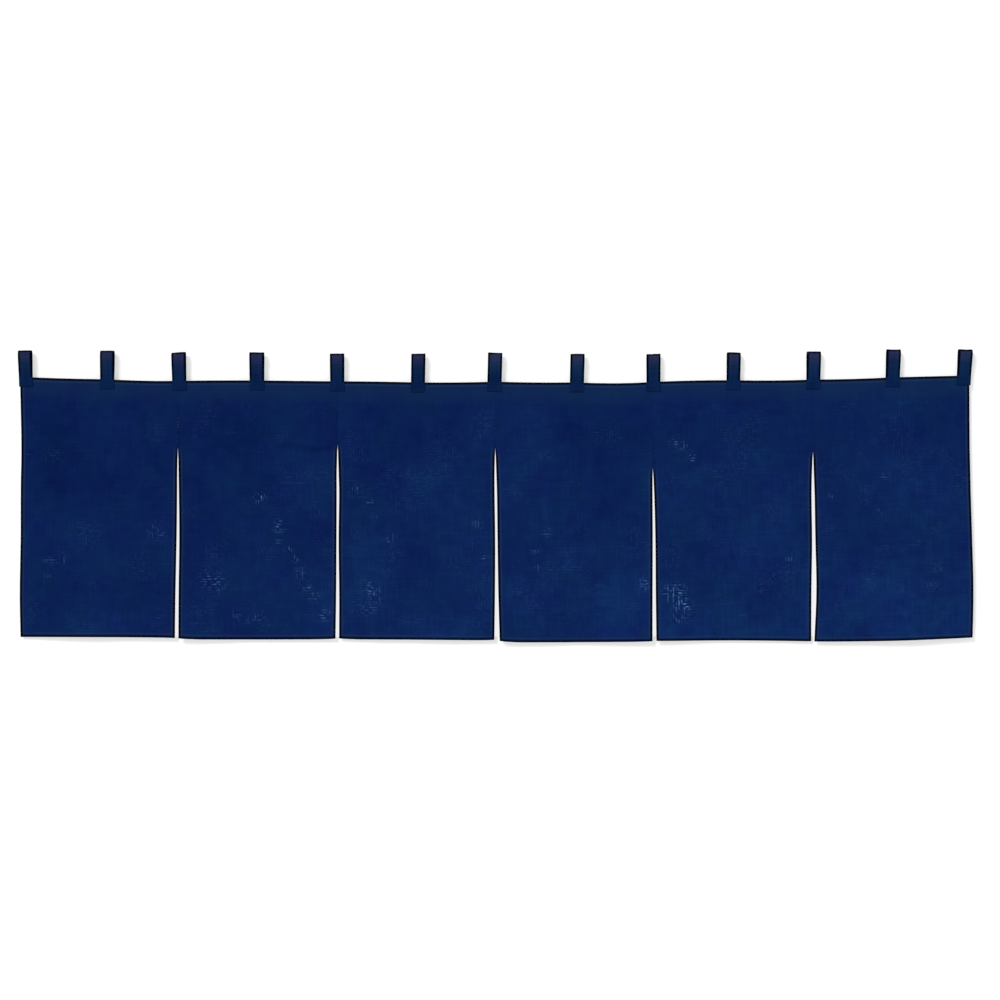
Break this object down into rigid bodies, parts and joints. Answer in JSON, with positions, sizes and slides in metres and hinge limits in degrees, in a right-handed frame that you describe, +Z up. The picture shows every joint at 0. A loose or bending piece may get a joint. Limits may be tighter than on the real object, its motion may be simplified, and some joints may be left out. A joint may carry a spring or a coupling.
{
  "type": "noren curtain",
  "caption": "Short split doorway curtain of plain indigo cloth panels, sewn together at the top and hung by cloth loops from a rod.",
  "frame": {"origin": "on the line of the rod that passes through the loops, at mid-width", "axes": "+X to the right along the curtain's width as seen from the front, +Y to the back (the front faces -Y), +Z up"},
  "size_m": [1.8026, 0.0172, 0.5527],
  "materials": {
    "panel_cloth": "matt plain-weave hemp cloth dyed deep indigo, with slubs and small open spots in the weave",
    "tab_cloth": "the same indigo cloth doubled and folded into a loop, slightly greyer on its worn fold"
  },
  "bodies": {
    "root": {"panel_1": "panel_cloth", "panel_2": "panel_cloth", "panel_3": "panel_cloth", "panel_4": "panel_cloth", "panel_5": "panel_cloth", "panel_6": "panel_cloth", "tab_01": "tab_cloth", "tab_02": "tab_cloth", "tab_03": "tab_cloth", "tab_04": "tab_cloth", "tab_05": "tab_cloth", "tab_06": "tab_cloth", "tab_07": "tab_cloth", "tab_08": "tab_cloth", "tab_09": "tab_cloth", "tab_10": "tab_cloth", "tab_11": "tab_cloth", "tab_12": "tab_cloth", "tab_13": "tab_cloth"}
  },
  "joints": []
}
